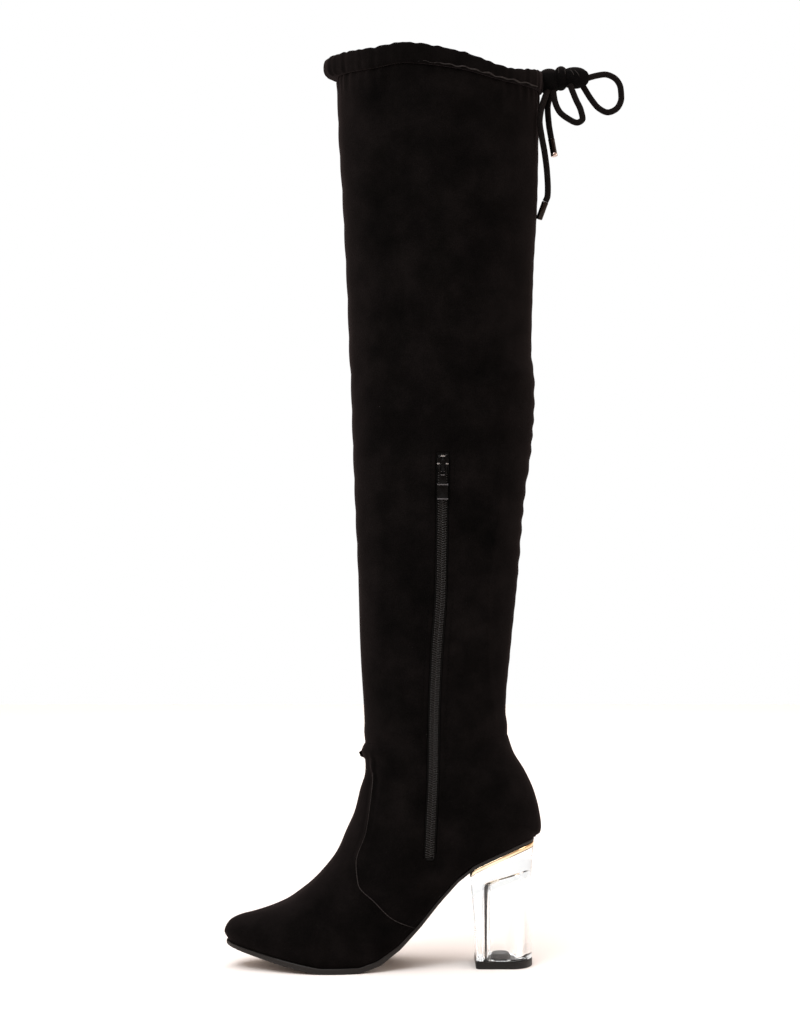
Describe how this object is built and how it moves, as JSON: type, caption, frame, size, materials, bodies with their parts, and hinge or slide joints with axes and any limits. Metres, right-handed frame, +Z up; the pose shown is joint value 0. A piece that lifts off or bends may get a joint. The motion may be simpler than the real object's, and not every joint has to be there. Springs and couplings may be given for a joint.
{
  "type": "thigh high boot",
  "caption": "Right over-the-knee boot with a hollow velvet shaft and foot, clear block heel, inner zip and a drawstring tied behind the thigh.",
  "frame": {"origin": "centre of the heel tip's underside, on the floor", "axes": "+Z up the shaft, -X towards the toe, -Y towards the inner side with the zip"},
  "size_m": [0.2919, 0.1188, 0.6631],
  "materials": {
    "velvet": "matt nap",
    "cord": "matt",
    "insole_fabric": "matt",
    "outsole_rubber": "satin",
    "tip_rubber": "matt",
    "gold_plate": "polished",
    "clear_acrylic": "clear gloss",
    "zip_tape": "woven",
    "zip_nylon": "satin",
    "gunmetal": "gloss black",
    "aglet_metal": "polished"
  },
  "bodies": {
    "boot": {"outsole": "outsole_rubber", "insole": "insole_fabric", "upper": "velvet", "shaft": "velvet", "collar_casing": "velvet", "heel_plate": "gold_plate", "heel_block": "clear_acrylic", "heel_tip": "tip_rubber", "zip_tape": "zip_tape", "zip_chain": "zip_nylon", "zip_slider": "gunmetal", "bow_knot": "cord", "bow_loop_upper": "cord", "bow_loop_lower": "cord", "bow_end_short": "cord", "bow_end_long": "cord", "aglet_short": "aglet_metal", "aglet_long": "aglet_metal"},
    "pull": {"zip_pull": "gunmetal"}
  },
  "joints": [
    {"name": "pull_swing", "type": "hinge", "parent": "boot", "child": "pull", "pos_m": [-0.04515, -0.04819, 0.3638], "axis": [-0.9999, -0.0097, 0.0071], "range_deg": [0, 170]}
  ]
}
